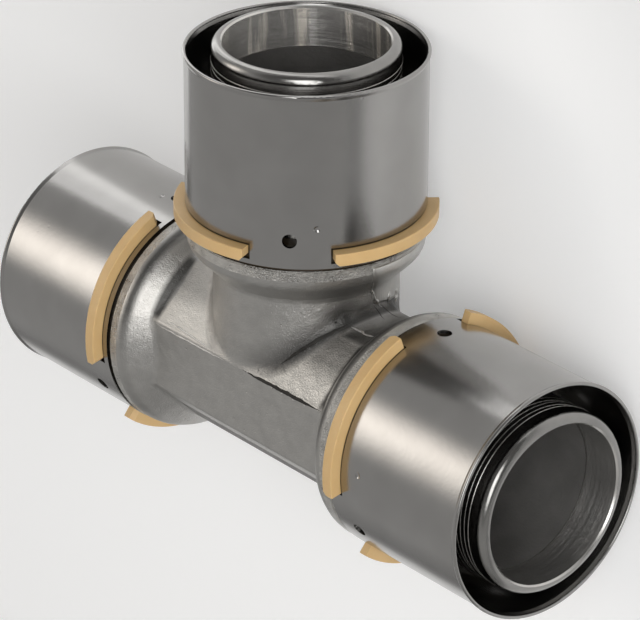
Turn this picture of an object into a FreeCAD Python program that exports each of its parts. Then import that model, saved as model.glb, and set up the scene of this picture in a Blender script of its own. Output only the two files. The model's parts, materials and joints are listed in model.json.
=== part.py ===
import FreeCAD, Part
import math
import os
from collections import namedtuple

os.makedirs("parts", exist_ok=True)

# Equal press tee for a plastic lined pipe, sizes in millimetres.
# The run lies along X, the branch points to plus Y and Z is up.
# The tee lies on its side on three stop rings, as it comes to rest when put down.

# Pipe that each port takes
pipe_radius = 31.5
pipe_wall = 6.0
pipe_bore_radius = pipe_radius - pipe_wall

# Nipple that goes into the pipe
nipple_clearance = 0.1
nipple_radius = pipe_bore_radius - nipple_clearance
nipple_stand_out = 2.35
nipple_wall = 3.4
nose_radius = 2.3
barb_count = 3
barb_pitch = 3.0
barb_depth = 0.45
barb_land = 0.4
barb_start = 2.7
barb_foot = 0.35

# Waterway, cast inside the body and machined a little wider at each mouth
waterway_radius = nipple_radius - nipple_wall
mouth_step = 0.4
mouth_radius = waterway_radius + mouth_step
mouth_depth = 11.4
mouth_bevel = 0.45

# Seal rings and their grooves
seal_section = 2.0
seal_groove_width = 2.6
seal_groove_clearance = 0.05
seal_count = 2
seal_first_place = 14.0
seal_pitch = 11.0
seal_places = [seal_first_place + index * seal_pitch for index in range(seal_count)]

# Places along a port, counted inwards from the sleeve's lip
collar_face_place = 50.3
ring_length = 6.9
ring_face_place = collar_face_place - ring_length

# Sleeve that is pressed onto the pipe
sleeve_clearance = 0.1
sleeve_end_gap = 0.9
sleeve_wall = 1.0
sleeve_length = collar_face_place - sleeve_end_gap
sleeve_bore_radius = pipe_radius + sleeve_clearance
sleeve_radius = sleeve_bore_radius + sleeve_wall
flare_rise = 0.37
flare_length = 1.6
flare_lip = 0.7
test_hole_radius = 2.0
test_hole_place = ring_face_place - test_hole_radius
dimple_ball_radius = 1.6
dimple_depth = 0.3

# Stop rings and the seats they sit on
ring_seat_rise = 1.0
ring_seat_radius = nipple_radius + ring_seat_rise
ring_clearance = 0.1
segment_root = 1.5
segment_width = 3.5
segment_stand_out = 3.15
segment_radius = sleeve_radius + segment_stand_out
segment_count = 3
segment_half_gap_deg = 20.2
segment_corner_cut = 1.2
segment_edge_round = 0.3
window_clearance = 0.5

# Eight sided bar along the run, as the wall that each of its sides leaves round the waterway
wall_branch = 2.9
wall_upper = 2.95
wall_flat = 3.1
wall_lower = 2.7
wall_back = 1.9
bar_edge_round = 1.5
bar_overlap = 6.0

# Branch neck, a little wider at the mould's parting plane
neck_wall = 2.9
neck_swell = 1.7
neck_half_height = waterway_radius + neck_wall
neck_half_width = neck_half_height + neck_swell
neck_seam_round = 8.0
neck_fillet_radius = 5.0
neck_overlap = 4.0

# Collars, and how far past the neck and the bar their shoulders come out of the core
collar_drop = 0.2
collar_radius = sleeve_radius - collar_drop
collar_rim_width = 3.0
collar_edge_bevel = 0.4
shoulder_round = 4.5
shoulder_angle_deg = 45.0
shoulder_foot_depth = 1.3
shoulder_foot_radius = waterway_radius + wall_back - shoulder_foot_depth
root_fillet_radius = 2.5
run_core_margin = 4.94
run_core_half = neck_half_width + run_core_margin
branch_core_margin = 6.14
branch_core_height = waterway_radius + wall_branch + branch_core_margin

# Ports, with how far each port's segments are set back from the collar and its dimple from the pipe's end,
# and the clocks of its first gap and its dimple in degrees
# A clock is counted from Y towards Z before the port is turned to its place
Port = namedtuple("Port", "name turn_deg core segment_setback gap_clock dimple_setback dimple_clock")
ports = (
    Port("run_a", 0.0, run_core_half, 2.1, -1.0, 5.5, 84.0),
    Port("run_b", 180.0, run_core_half, 3.1, 59.5, 6.1, 175.0),
    Port("branch", 90.0, branch_core_height, 2.7, 11.7, 5.6, 144.5),
)

# Metal left inside an arm until it is bored, how far a cutter reaches past what it cuts,
# and how near an edge must lie to where it is looked for
bore_stock = 1.0
cut_overrun = 1.0
edge_match = 0.02

origin = FreeCAD.Vector(0.0, 0.0, 0.0)
along_x = FreeCAD.Vector(1.0, 0.0, 0.0)
along_y = FreeCAD.Vector(0.0, 1.0, 0.0)
along_z = FreeCAD.Vector(0.0, 0.0, 1.0)

# What belongs to one port is drawn about X with the sleeve's lip at zero, and then moved to its port


def point(x, r):
    """Profile point at x along the port and r from its axis."""
    return FreeCAD.Vector(x, r, 0.0)


def inwards(depth):
    """Place of something that deep behind the sleeve's lip."""
    return -depth


def from_mouth(depth):
    """Place of something that deep behind the nipple's mouth."""
    return nipple_stand_out - depth


def chain(points):
    """Straight edges through the points, one after another."""
    return [Part.LineSegment(a, b).toShape() for a, b in zip(points[:-1], points[1:])]


def arc(start, middle, end):
    """Arc edge through three points."""
    return Part.Arc(start, middle, end).toShape()


def revolve(edges):
    """Solid of revolution about X from a closed chain of edges."""
    return Part.Face(Part.Wire(edges)).revolve(origin, along_x, 360.0)


def cylinder(radius, x_low, x_high):
    """Cylinder about X between two places."""
    return Part.makeCylinder(radius, x_high - x_low, point(x_low, 0.0), along_x)


def clocked(shape, angle_deg):
    """Copy turned about the port's axis."""
    turned = shape.copy()
    turned.rotate(origin, along_x, angle_deg)
    return turned


def reach(port):
    """Distance from the tee's middle to the port's lip."""
    return port.core + shoulder_foot()


def at_port(shape, port):
    """Copy moved out to its port."""
    placed = shape.copy()
    placed.translate(along_x * reach(port))
    placed.rotate(origin, along_z, port.turn_deg)
    return placed


def nose_outline():
    """Mouth face and rounded nose of the nipple."""
    mouth = from_mouth(0.0)
    crown = nipple_radius - nose_radius
    centre = mouth - nose_radius
    lean = nose_radius * math.sqrt(0.5)
    edges = chain([point(mouth, mouth_radius + mouth_bevel), point(mouth, crown)])
    edges.append(arc(point(mouth, crown), point(centre + lean, crown + lean), point(centre, nipple_radius)))
    return edges


def nipple_outline():
    """Outside of the nipple from the nose to the face of the collar."""
    floor = nipple_radius - barb_depth
    points = [point(from_mouth(nose_radius), nipple_radius)]
    for index in range(barb_count):
        start = barb_start + index * barb_pitch
        crest = start + barb_pitch - barb_land
        points.append(point(from_mouth(start), nipple_radius))
        points.append(point(from_mouth(start), floor))
        points.append(point(from_mouth(start + barb_foot), floor))
        points.append(point(from_mouth(crest), nipple_radius))
    groove_floor = pipe_bore_radius - seal_section - seal_groove_clearance
    for middle in seal_places:
        near = from_mouth(middle - seal_groove_width / 2.0)
        far = from_mouth(middle + seal_groove_width / 2.0)
        points.append(point(near, nipple_radius))
        points.append(point(near, groove_floor))
        points.append(point(far, groove_floor))
        points.append(point(far, nipple_radius))
    points.append(point(inwards(ring_face_place), nipple_radius))
    points.append(point(inwards(ring_face_place), ring_seat_radius))
    points.append(point(inwards(collar_face_place), ring_seat_radius))
    return chain(points)


def shoulder_turn():
    """How far the shoulder's rounding goes along the axis and how far it falls."""
    angle = math.radians(shoulder_angle_deg)
    return shoulder_round * math.sin(angle), shoulder_round * (1.0 - math.cos(angle))


def shoulder_foot():
    """How deep behind the lip the shoulder's cone reaches its foot."""
    length, fall = shoulder_turn()
    rest = collar_radius - fall - shoulder_foot_radius
    cone = rest / math.tan(math.radians(shoulder_angle_deg))
    return collar_face_place + collar_rim_width + length + cone


def collar_outline():
    """Face, rim and shoulder of the collar, down to the shoulder's foot."""
    face = inwards(collar_face_place)
    rim_end = face - collar_rim_width
    length, fall = shoulder_turn()
    half = math.radians(shoulder_angle_deg / 2.0)
    middle = point(
        rim_end - shoulder_round * math.sin(half),
        collar_radius - shoulder_round * (1.0 - math.cos(half)),
    )
    edges = chain([
        point(face, ring_seat_radius),
        point(face, collar_radius - collar_edge_bevel),
        point(face - collar_edge_bevel, collar_radius),
        point(rim_end, collar_radius),
    ])
    turn_end = point(rim_end - length, collar_radius - fall)
    edges.append(arc(point(rim_end, collar_radius), middle, turn_end))
    edges += chain([turn_end, point(inwards(shoulder_foot()), shoulder_foot_radius)])
    return edges


def arm_solid():
    """Nipple, ring seat and collar, still without the waterway."""
    inner = waterway_radius - bore_stock
    foot = inwards(shoulder_foot())
    edges = nose_outline() + nipple_outline() + collar_outline()
    edges += chain([
        point(foot, shoulder_foot_radius),
        point(foot, inner),
        point(from_mouth(0.0), inner),
        point(from_mouth(0.0), mouth_radius + mouth_bevel),
    ])
    return revolve(edges)


def bar_corner(first, second, index):
    """Where two neighbouring sides of the bar meet, as y and z."""
    one = index * math.pi / 4.0
    two = one + math.pi / 4.0
    scale = math.sin(two - one)
    y = (first * math.sin(two) - second * math.sin(one)) / scale
    z = (second * math.cos(one) - first * math.cos(two)) / scale
    return y, z


def bar_solid():
    """Eight sided bar along the run with rounded long edges."""
    walls = (
        wall_branch, wall_upper, wall_flat, wall_lower,
        wall_back, wall_lower, wall_flat, wall_upper,
    )
    sides = [waterway_radius + wall for wall in walls]
    half = run_core_half + bar_overlap
    points = []
    for index, first in enumerate(sides):
        y, z = bar_corner(first, sides[(index + 1) % len(sides)], index)
        points.append(FreeCAD.Vector(-half, y, z))
    points.append(points[0])
    bar = Part.Face(Part.Wire(chain(points))).extrude(along_x * 2.0 * half)
    long_edges = [edge for edge in bar.Edges if runs_along(edge, along_x)]
    return bar.makeFillet(bar_edge_round, long_edges)


def middle_of(edge):
    """Point halfway along an edge."""
    return edge.valueAt((edge.FirstParameter + edge.LastParameter) / 2.0)


def runs_along(edge, direction):
    """Whether an edge is straight and parallel to a direction."""
    straight = edge.Curve.TypeId == "Part::GeomLine"
    return straight and abs(edge.tangentAt(edge.FirstParameter).dot(direction)) > 1.0 - edge_match


def neck_offset():
    """How far the neck's two arcs have their centres beyond the parting plane."""
    return (neck_half_width ** 2 - neck_half_height ** 2) / (2.0 * neck_half_height)


def neck_solid():
    """Branch neck from two arcs that meet at the mould's parting plane."""
    left = FreeCAD.Vector(-neck_half_width, 0.0, 0.0)
    right = FreeCAD.Vector(neck_half_width, 0.0, 0.0)
    top = FreeCAD.Vector(0.0, 0.0, neck_half_height)
    section = Part.Wire([arc(left, top, right), arc(right, top * -1.0, left)])
    neck = Part.Face(section).extrude(along_y * (branch_core_height + neck_overlap))
    seams = [edge for edge in neck.Edges if runs_along(edge, along_y)]
    return neck.makeFillet(neck_seam_round, seams)


def neck_junction(shape):
    """Edges where the branch neck meets the eight sided bar."""
    offset = neck_offset()
    radius = neck_half_height + offset
    found = []
    for edge in shape.Edges:
        middle = middle_of(edge)
        on_neck = abs(math.hypot(middle.x, abs(middle.z) + offset) - radius) < edge_match
        if on_neck and edge_match < middle.y < branch_core_height and not runs_along(edge, along_y):
            found.append(edge)
    return found


def core_solid():
    """Eight sided bar and branch neck with the rounded corner between them."""
    core = bar_solid().fuse(neck_solid()).removeSplitter()
    return core.makeFillet(neck_fillet_radius, neck_junction(core))


def shoulder_roots(shape):
    """Edges where the cones of the shoulders come out of the bar and the neck."""
    length, fall = shoulder_turn()
    cone_start = inwards(collar_face_place) - collar_rim_width - length
    slope = math.tan(math.radians(shoulder_angle_deg))
    found = []
    for edge in shape.Edges:
        if edge.Curve.TypeId == "Part::GeomLine":
            continue
        for port in ports:
            middle = Part.Vertex(middle_of(edge))
            middle.rotate(origin, along_z, -port.turn_deg)
            x = middle.X - reach(port)
            r = math.hypot(middle.Y, middle.Z)
            on_cone = abs(collar_radius - fall - (cone_start - x) * slope - r) < edge_match
            if on_cone and x < cone_start - edge_match and r > shoulder_foot_radius + edge_match:
                found.append(edge)
                break
    return found


def waterway(port):
    """Bore of one port, cast inside and machined at the mouth."""
    mouth = from_mouth(0.0)
    cast = cylinder(waterway_radius, -reach(port), mouth)
    machined = cylinder(mouth_radius, from_mouth(mouth_depth), mouth)
    bevel = Part.makeCone(
        mouth_radius, mouth_radius + mouth_bevel, mouth_bevel,
        point(mouth - mouth_bevel, 0.0), along_x,
    )
    return at_port(cast.fuse(machined).fuse(bevel), port)


def body():
    """The tee casting in one piece."""
    shape = core_solid()
    for port in ports:
        shape = shape.fuse(at_port(arm_solid(), port))
    shape = shape.removeSplitter()
    shape = shape.makeFillet(root_fillet_radius, shoulder_roots(shape))
    for port in ports:
        shape = shape.cut(waterway(port))
    return shape


def sleeve_blank():
    """Press sleeve with its flared mouth and no openings yet."""
    half_wall = sleeve_wall / 2.0
    lip = inwards(half_wall)
    wide = inwards(flare_lip)
    narrow = inwards(flare_length)
    end = inwards(sleeve_length)
    inner = sleeve_bore_radius
    outer = sleeve_radius
    outside = point(lip, outer + flare_rise)
    inside = point(lip, inner + flare_rise)
    edges = chain([
        inside,
        point(wide, inner + flare_rise),
        point(narrow, inner),
        point(end, inner),
        point(end, outer),
        point(narrow, outer),
        point(wide, outer + flare_rise),
        outside,
    ])
    edges.append(arc(outside, point(0.0, inner + flare_rise + half_wall), inside))
    return revolve(edges)


def sector(inner, outer, x_low, x_high, span):
    """Part of a tube about X over a span of clock angles."""
    profile = Part.Face(Part.Wire(chain([
        point(x_low, inner),
        point(x_high, inner),
        point(x_high, outer),
        point(x_low, outer),
        point(x_low, inner),
    ])))
    return clocked(profile.revolve(origin, along_x, span[1] - span[0]), span[0])


def gap_clocks(port):
    """Clock angles of the gaps between the segments."""
    return [port.gap_clock + index * 360.0 / segment_count for index in range(segment_count)]


def segment_span(gap_clock):
    """Clock angles of the segment that follows a gap."""
    return gap_clock + segment_half_gap_deg, gap_clock + 360.0 / segment_count - segment_half_gap_deg


def segment_start(port):
    """Place of the segments' inboard faces."""
    return inwards(collar_face_place - port.segment_setback)


def window_cutter(port, gap_clock):
    """Window for one segment, with clearance all round."""
    low, high = segment_span(gap_clock)
    grow = math.degrees(window_clearance / sleeve_radius)
    x_low = segment_start(port) - window_clearance
    x_high = segment_start(port) + segment_width + window_clearance
    inner = sleeve_bore_radius - cut_overrun
    outer = sleeve_radius + cut_overrun
    return sector(inner, outer, x_low, x_high, (low - grow, high + grow))


def sleeve(port):
    """Press sleeve with windows for the segments, a test hole in each gap and one dimple."""
    shape = sleeve_blank()
    hole_start = point(inwards(test_hole_place), 0.0)
    hole = Part.makeCylinder(test_hole_radius, sleeve_radius + cut_overrun, hole_start, along_y)
    for gap_clock in gap_clocks(port):
        shape = shape.cut(window_cutter(port, gap_clock))
        shape = shape.cut(clocked(hole, gap_clock))
    ball_distance = sleeve_radius + dimple_ball_radius - dimple_depth
    dimple_place = inwards(ring_face_place - port.dimple_setback)
    ball = Part.makeSphere(dimple_ball_radius, point(dimple_place, ball_distance))
    shape = shape.cut(clocked(ball, port.dimple_clock))
    return at_port(shape, port)


def segment(port, gap_clock):
    """One segment of a stop ring, with its inboard corners cut and its outer edges rounded."""
    x_low = segment_start(port)
    x_high = x_low + segment_width
    low, high = segment_span(gap_clock)
    piece = sector(sleeve_bore_radius - segment_root, segment_radius, x_low, x_high, (0.0, high - low))
    corners = [
        edge for edge in piece.Edges
        if edge.Curve.TypeId == "Part::GeomLine" and edge.BoundBox.XMax < x_low + edge_match
    ]
    piece = piece.makeChamfer(segment_corner_cut, corners)
    rims = [
        edge for edge in piece.Edges
        if edge.Curve.TypeId == "Part::GeomCircle" and abs(edge.Curve.Radius - segment_radius) < edge_match
    ]
    return clocked(piece.makeFillet(segment_edge_round, rims), low)


def stop_ring(port):
    """Stop ring with the segments that come out through the sleeve's windows."""
    x_low = inwards(collar_face_place)
    x_high = inwards(ring_face_place)
    shape = cylinder(sleeve_bore_radius - ring_clearance, x_low, x_high)
    shape = shape.cut(cylinder(ring_seat_radius + ring_clearance, x_low, x_high))
    for gap_clock in gap_clocks(port):
        shape = shape.fuse(segment(port, gap_clock))
    return at_port(shape.removeSplitter(), port)


def seal(port, middle):
    """Seal ring in its groove, flush with the pipe's bore."""
    radius = seal_section / 2.0
    ring = Part.makeTorus(pipe_bore_radius - radius, radius, point(from_mouth(middle), 0.0), along_x)
    return at_port(ring, port)


def footprint_shift():
    """Move that centres the tee on its footprint, with its lowest point on the ground."""
    branch_end = branch_core_height + shoulder_foot() + nipple_stand_out
    return FreeCAD.Vector(0.0, -(branch_end - segment_radius) / 2.0, segment_radius)


def save(name, shape):
    """Put one solid in its finished place, check it and write it."""
    placed = shape.copy()
    placed.translate(footprint_shift())
    if not placed.isValid() or len(placed.Solids) != 1:
        raise RuntimeError(name + " is not one valid solid")
    placed.Solids[0].exportStep("parts/" + name + ".step")
    box = placed.BoundBox
    print(name, round(placed.Volume), round(box.XLength, 1), round(box.YLength, 1), round(box.ZLength, 1))


def main():
    """Build and write every node."""
    save("tee_body", body())
    for port in ports:
        save("sleeve_" + port.name, sleeve(port))
        save("stop_ring_" + port.name, stop_ring(port))
        for index, middle in enumerate(seal_places):
            save("seal_" + port.name + "_" + str(index + 1), seal(port, middle))


main()
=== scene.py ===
"""Looks of an equal press tee for composite pipe, lying on its side on a pale studio floor."""

import json
import logging
import math
from dataclasses import dataclass, replace
from enum import Enum

import bmesh
import bpy
from mathutils import Matrix, Vector, noise
from mathutils.bvhtree import BVHTree

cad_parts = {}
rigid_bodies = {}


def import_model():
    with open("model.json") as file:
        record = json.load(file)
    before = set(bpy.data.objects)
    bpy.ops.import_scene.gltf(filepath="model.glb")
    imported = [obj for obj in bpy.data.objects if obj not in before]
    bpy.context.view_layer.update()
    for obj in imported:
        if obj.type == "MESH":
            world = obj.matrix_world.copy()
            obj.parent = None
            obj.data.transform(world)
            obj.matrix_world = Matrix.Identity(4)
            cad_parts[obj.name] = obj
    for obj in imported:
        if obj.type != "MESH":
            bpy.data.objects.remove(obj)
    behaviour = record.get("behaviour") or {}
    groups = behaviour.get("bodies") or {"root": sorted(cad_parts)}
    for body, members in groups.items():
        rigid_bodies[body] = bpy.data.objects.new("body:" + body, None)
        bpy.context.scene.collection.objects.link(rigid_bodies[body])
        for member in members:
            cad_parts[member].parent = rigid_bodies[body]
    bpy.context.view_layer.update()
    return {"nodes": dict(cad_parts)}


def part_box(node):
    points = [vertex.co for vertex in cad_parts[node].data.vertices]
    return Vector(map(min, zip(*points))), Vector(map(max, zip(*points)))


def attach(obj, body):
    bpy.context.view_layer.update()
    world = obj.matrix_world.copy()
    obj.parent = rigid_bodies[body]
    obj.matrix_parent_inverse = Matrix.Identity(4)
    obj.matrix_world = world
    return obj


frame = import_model()

log = logging.getLogger("press_tee")

MM = 0.001
PER_MM = 1.0 / MM
ROOT = "root"
FLOAT = "NodeSocketFloat"
VECTOR = "NodeSocketVector"
ORIGIN = (0.0, 0.0, 0.0)

Socket = bpy.types.NodeSocket
Node = bpy.types.Node
Outputs = bpy.types.bpy_prop_collection
Triple = tuple[float, float, float]
# Start and end of a range of values, then what the value becomes at its start and at its end.
Band = tuple[float, float, float, float]


class PortName(Enum):
    """The three ports of the tee, by the names that their nodes carry."""

    RUN_A = "run_a"
    RUN_B = "run_b"
    BRANCH = "branch"


class Region(Enum):
    """Kinds of surface on the one-piece body, in the order of its material slots."""

    CAST_SKIN = 0
    COLLAR_RIM = 1
    TURNED = 2
    MOUTH_BORE = 3
    CAST_BORE = 4
    BORE_STEP = 5
    MOUTH_EDGE = 6


@dataclass(frozen=True)
class Port:
    """One port's place: the middle of its lip and the direction that it opens to."""

    name: PortName
    lip: Vector
    outwards: Vector

    @staticmethod
    def from_frame(name: PortName, middle: Vector) -> "Port":
        """Read a port's place from its sleeve.

        Args:
            name: The port to read.
            middle: The point where the port axes cross.

        Returns:
            The port, with its lip on the sleeve's outer end.
        """
        low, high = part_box("sleeve_" + name.value)
        centre = (low + high) / 2
        outwards = (centre - middle).normalized()
        half = abs((high - low).dot(outwards)) / 2
        return Port(name, centre + outwards * half, outwards)

    def depth_and_radius(self, point: Vector) -> tuple[float, float]:
        """Give how deep behind the lip a point lies and how far from the port's axis.

        Args:
            point: A point in the row frame.

        Returns:
            Depth and radius in metres.
        """
        away = point - self.lip
        along = away.dot(self.outwards)
        return -along, (away - self.outwards * along).length


class NodeSheet:
    """A node tree with short calls for adding and joining its nodes."""

    NUMBER_RESULTS = ("LENGTH", "DISTANCE", "DOT_PRODUCT")
    MIX_COLOURS = (6, 7)
    MIX_RESULT = 2

    def __init__(self, tree: bpy.types.NodeTree) -> None:
        """Keep the tree that the calls work on."""
        self.tree = tree

    def feed(self, socket: Socket, value: object) -> None:
        """Link an input to an output, or set it to a number or a tuple.

        Args:
            socket: The input.
            value: What it gets.
        """
        if isinstance(value, Socket):
            self.tree.links.new(value, socket)
        else:
            socket.default_value = value

    def fill(self, node: Node, **values: object) -> Node:
        """Feed a node's inputs by their names.

        Args:
            node: The node.
            **values: What each input gets, with underscores for the spaces of its name.

        Returns:
            The same node.
        """
        for name, value in values.items():
            self.feed(node.inputs[name.replace("_", " ")], value)
        return node

    def add(self, kind: str, *values: object, **settings: object) -> Node:
        """Add a node.

        Args:
            kind: The node's type name.
            *values: What its inputs get, in order.
            **settings: Properties of the node to set.

        Returns:
            The new node.
        """
        node = self.tree.nodes.new(kind)
        for name, setting in settings.items():
            setattr(node, name, setting)
        for socket, value in zip(node.inputs, values):
            self.feed(socket, value)
        return node

    def math(self, operation: str, *values: object, clamp: bool = False) -> Socket:
        """Work out a number, held between zero and one where clamp says so."""
        return self.add("ShaderNodeMath", *values, operation=operation, use_clamp=clamp).outputs[0]

    def vector(self, operation: str, *values: object) -> Socket:
        """Work out a vector, or a number where the operation gives one."""
        node = self.add("ShaderNodeVectorMath", *values, operation=operation)
        return node.outputs["Value" if operation in self.NUMBER_RESULTS else "Vector"]

    def scaled(self, value: Socket, factor: object) -> Socket:
        """Scale a vector by a number or an output."""
        node = self.add("ShaderNodeVectorMath", value, operation="SCALE")
        return self.fill(node, Scale=factor).outputs[0]

    def spread(self, value: object, band: Band) -> Socket:
        """Map a band of values to its results, which hold past its ends."""
        return self.add("ShaderNodeMapRange", value, *band, clamp=True).outputs["Result"]

    def noise(self, place: Socket, scale: float, detail: float, roughness: float) -> Socket:
        """Read a noise with so many cells for each unit of the place, and so many octaves."""
        node = self.add("ShaderNodeTexNoise")
        return self.fill(node, Vector=place, Scale=scale, Detail=detail, Roughness=roughness).outputs["Fac"]

    def mix_colour(self, share: object, first: object, second: object) -> Socket:
        """Mix two colours.

        Args:
            share: Share of the second colour.
            first: A colour or output.
            second: A colour or output.

        Returns:
            The mixed colour's socket.
        """
        node = self.add("ShaderNodeMix", data_type="RGBA")
        self.feed(node.inputs["Factor"], share)
        for index, colour in zip(self.MIX_COLOURS, (first, second)):
            self.feed(node.inputs[index], (*colour, 1.0) if isinstance(colour, tuple) else colour)
        return node.outputs[self.MIX_RESULT]

    def bump(self, height: Socket, rise: float) -> Node:
        """Raise a surface by a height of so many millimetres."""
        return self.fill(self.add("ShaderNodeBump"), Height=height, Distance=rise * MM)


class ShadedGroup:
    """A shader node group with named inputs and outputs, built once."""

    def __init__(self, name: str, inputs: dict[str, object], outputs: dict[str, str]) -> None:
        """Make the empty group and its sockets.

        Args:
            name: Name of the group.
            inputs: Socket name to default value, a tuple for a vector.
            outputs: Socket name to socket type.
        """
        self.tree = bpy.data.node_groups.new(name, "ShaderNodeTree")
        self.sheet = NodeSheet(self.tree)
        for socket_name, value in inputs.items():
            kind = VECTOR if isinstance(value, tuple) else FLOAT
            socket = self.tree.interface.new_socket(name=socket_name, in_out="INPUT", socket_type=kind)
            socket.default_value = value
        for socket_name, kind in outputs.items():
            self.tree.interface.new_socket(name=socket_name, in_out="OUTPUT", socket_type=kind)
        self.given = self.sheet.add("NodeGroupInput").outputs
        self.result = self.sheet.add("NodeGroupOutput")

    def give(self, **results: Socket) -> "ShadedGroup":
        """Feed the group's outputs by their names and hand the group back."""
        self.sheet.fill(self.result, **results)
        return self

    def place(self, sheet: NodeSheet, **values: object) -> Outputs:
        """Put the group into a material, feed its inputs by their names and hand back its outputs."""
        return sheet.fill(sheet.add("ShaderNodeGroup", node_tree=self.tree), **values).outputs


class Effects:
    """The node groups that several finishes share."""

    SPECK_RARITY: Band = (0.42, 0.68, 0.0, 2.0)
    SPECK_EDGE = 14.0

    def __init__(self) -> None:
        """Build every group."""
        self.port_place = self.build_port_place()
        self.mottle = self.build_mottle()
        self.specks = self.build_specks()
        self.turning = self.build_turning()
        self.corners = CastingCorners().build()

    @staticmethod
    def build_port_place() -> ShadedGroup:
        """Build the group that gives places about a port's axis.

        Returns:
            A group with the way out along the axis, the way off the axis and both together, in millimetres.
        """
        group = ShadedGroup(
            "place_about_port",
            {"Lip": ORIGIN, "Outwards": (1.0, 0.0, 0.0)},
            {"Along": FLOAT, "Radial": VECTOR, "Place": VECTOR},
        )
        sheet = group.sheet
        here = sheet.add("ShaderNodeTexCoord").outputs["Object"]
        outwards = group.given["Outwards"]
        away = sheet.vector("SUBTRACT", here, group.given["Lip"])
        along = sheet.vector("DOT_PRODUCT", away, outwards)
        radial = sheet.vector("SUBTRACT", away, sheet.scaled(outwards, along))
        return group.give(
            Along=sheet.math("MULTIPLY", along, PER_MM),
            Radial=sheet.scaled(radial, PER_MM),
            Place=sheet.scaled(away, PER_MM),
        )

    @staticmethod
    def build_mottle() -> ShadedGroup:
        """Build the group for a surface's soft unevenness.

        Returns:
            A group with a height of coarse, middle and fine noise together, and the coarse noise alone.
        """
        group = ShadedGroup(
            "surface_mottle",
            {"Place": ORIGIN, "Coarse Share": 0.5, "Fine Share": 0.2, "Cell": 1.0},
            {"Height": FLOAT, "Coarse": FLOAT},
        )
        sheet = group.sheet
        place = sheet.scaled(group.given["Place"], sheet.math("DIVIDE", 1.0, group.given["Cell"]))
        coarse = sheet.noise(place, scale=0.12, detail=2.0, roughness=0.5)
        middle = sheet.noise(place, scale=1.0, detail=2.0, roughness=0.5)
        fine = sheet.noise(place, scale=4.5, detail=2.0, roughness=0.6)
        height = sheet.math("MULTIPLY_ADD", coarse, group.given["Coarse Share"], middle)
        height = sheet.math("MULTIPLY_ADD", fine, group.given["Fine Share"], height)
        return group.give(Height=height, Coarse=coarse)

    def build_specks(self) -> ShadedGroup:
        """Build the group for scattered small pits and spots.

        Returns:
            A group whose mask is one inside a speck.
        """
        group = ShadedGroup("scattered_specks", {"Place": ORIGIN, "Cell": 3.0, "Size": 0.08}, {"Mask": FLOAT})
        sheet = group.sheet
        place = sheet.scaled(group.given["Place"], sheet.math("DIVIDE", 1.0, group.given["Cell"]))
        cells = sheet.fill(sheet.add("ShaderNodeTexVoronoi", feature="F1"), Vector=place, Scale=1.0)
        rare = sheet.noise(place, scale=0.21, detail=1.0, roughness=0.5)
        size = sheet.math("MULTIPLY", group.given["Size"], sheet.spread(rare, self.SPECK_RARITY))
        inside = sheet.math("SUBTRACT", size, cells.outputs["Distance"])
        return group.give(Mask=sheet.math("MULTIPLY", inside, self.SPECK_EDGE, clamp=True))

    @staticmethod
    def build_turning() -> ShadedGroup:
        """Build the group for the lines that a lathe or a ring die leaves around an axis, also used,
        stretched, to place streaks of painted reflection.

        Returns:
            A group whose height changes along the axis and hardly around it.
        """
        group = ShadedGroup(
            "turning_lines", {"Along": 0.0, "Radial": ORIGIN, "Pitch": 0.3, "Around": 0.02}, {"Height": FLOAT}
        )
        sheet = group.sheet
        slow = sheet.scaled(group.given["Radial"], group.given["Around"])
        fast = sheet.math("DIVIDE", group.given["Along"], group.given["Pitch"])
        place = sheet.vector("ADD", sheet.add("ShaderNodeCombineXYZ", fast).outputs[0], slow)
        return group.give(Height=sheet.noise(place, scale=1.0, detail=3.0, roughness=0.65))

    def lines(self, sheet: NodeSheet, here: Outputs, pitch: float, around: float) -> Socket:
        """Put turning lines, or streaks of painted reflection laid out like them, into a material.

        Args:
            sheet: The material's node sheet.
            here: Places about the port's axis.
            pitch: Distance from line to line, in millimetres.
            around: How fast the lines change around the axis.

        Returns:
            The height of the lines.
        """
        given = {"Along": here["Along"], "Radial": here["Radial"]}
        return self.turning.place(sheet, **given, Pitch=pitch, Around=around)["Height"]


class Measure(Enum):
    """What the casting's masks read at a place, in millimetres about the axes' crossing."""

    X = "towards run_a"
    Y = "towards the branch"
    Z = "up"
    RUN_SIDE = "along the run, to either side"
    FROM_RUN = "from the run's axis"
    FROM_BRANCH = "from the branch's axis"
    LEAN = "how much farther from the run's axis than from the branch's"
    FROM_CORNER = "from the deepest point of the corner under the neck"
    SLANT = "how squarely a place faces as the slanted facets do, from 0 to 1"


@dataclass(frozen=True)
class Ramp:
    """One factor of a mask: what it reads, its band, and how it joins the factors before it."""

    measure: Measure
    band: Band
    joins: str = "MULTIPLY"


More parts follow.
